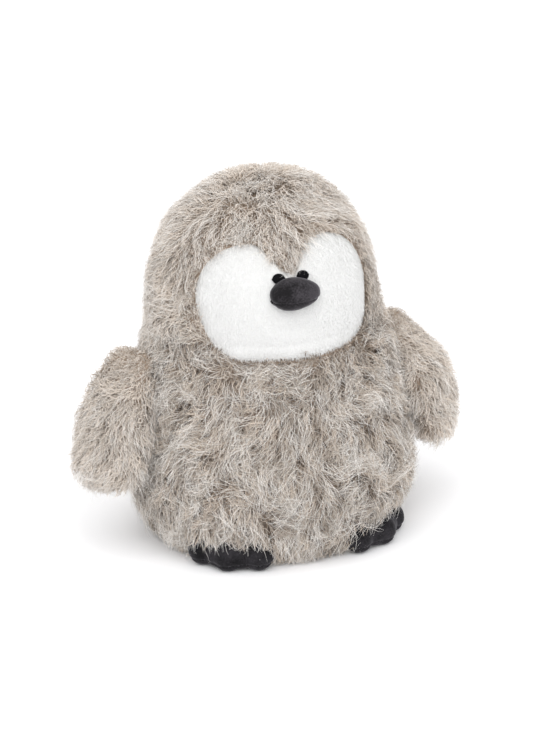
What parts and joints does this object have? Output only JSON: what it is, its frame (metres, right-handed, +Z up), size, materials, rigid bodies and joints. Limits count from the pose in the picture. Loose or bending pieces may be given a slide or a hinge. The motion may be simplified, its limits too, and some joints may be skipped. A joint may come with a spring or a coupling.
{
  "type": "plush penguin",
  "caption": "Standing baby penguin soft toy: long curly fur over a pear-shaped body, white heart-shaped face, small dark beak and feet, and two wings that lift.",
  "frame": {"origin": "middle of the flat base panel, on the surface the toy stands on", "axes": "+Z up, -Y the way the penguin faces, +X towards the penguin's own left"},
  "size_m": [0.3042, 0.2296, 0.283],
  "materials": {
    "long_fur": "matte",
    "face_plush": "matte",
    "velour": "matte",
    "eye_thread": "satin",
    "fibre_fill": "matte",
    "pouch_cloth": "matte",
    "pellets": "satin",
    "tab_satin": "satin"
  },
  "bodies": {
    "body": {"base_panel": "velour", "belly_panel": "long_fur", "back_panel_left": "long_fur", "back_panel_right": "long_fur", "head_side_left": "long_fur", "head_side_right": "long_fur", "crown_panel": "long_fur", "face_panel": "face_plush", "body_stuffing": "fibre_fill", "bean_pouch": "pouch_cloth", "bean_pellets": "pellets", "eye_left": "eye_thread", "eye_right": "eye_thread", "beak_top": "velour", "beak_bottom": "velour", "beak_stuffing": "fibre_fill", "foot_left_top": "velour", "foot_left_sole": "velour", "foot_left_stuffing": "fibre_fill", "foot_right_top": "velour", "foot_right_sole": "velour", "foot_right_stuffing": "fibre_fill", "care_tab": "tab_satin"},
    "wing_left": {"wing_left_outer": "long_fur", "wing_left_inner": "long_fur", "wing_left_stuffing": "fibre_fill"},
    "wing_right": {"wing_right_outer": "long_fur", "wing_right_inner": "long_fur", "wing_right_stuffing": "fibre_fill"}
  },
  "joints": [
    {"name": "wing_left_lift", "type": "hinge", "parent": "body", "child": "wing_left", "pos_m": [0.10548, 0, 0.147], "axis": [-0.5, -0.866, 0], "range_deg": [-5, 60], "stiffness_Nm_per_rad": 0.3},
    {"name": "wing_right_lift", "type": "hinge", "parent": "body", "child": "wing_right", "pos_m": [-0.10548, 0, 0.147], "axis": [-0.5, 0.866, 0], "range_deg": [-5, 60], "stiffness_Nm_per_rad": 0.3}
  ]
}
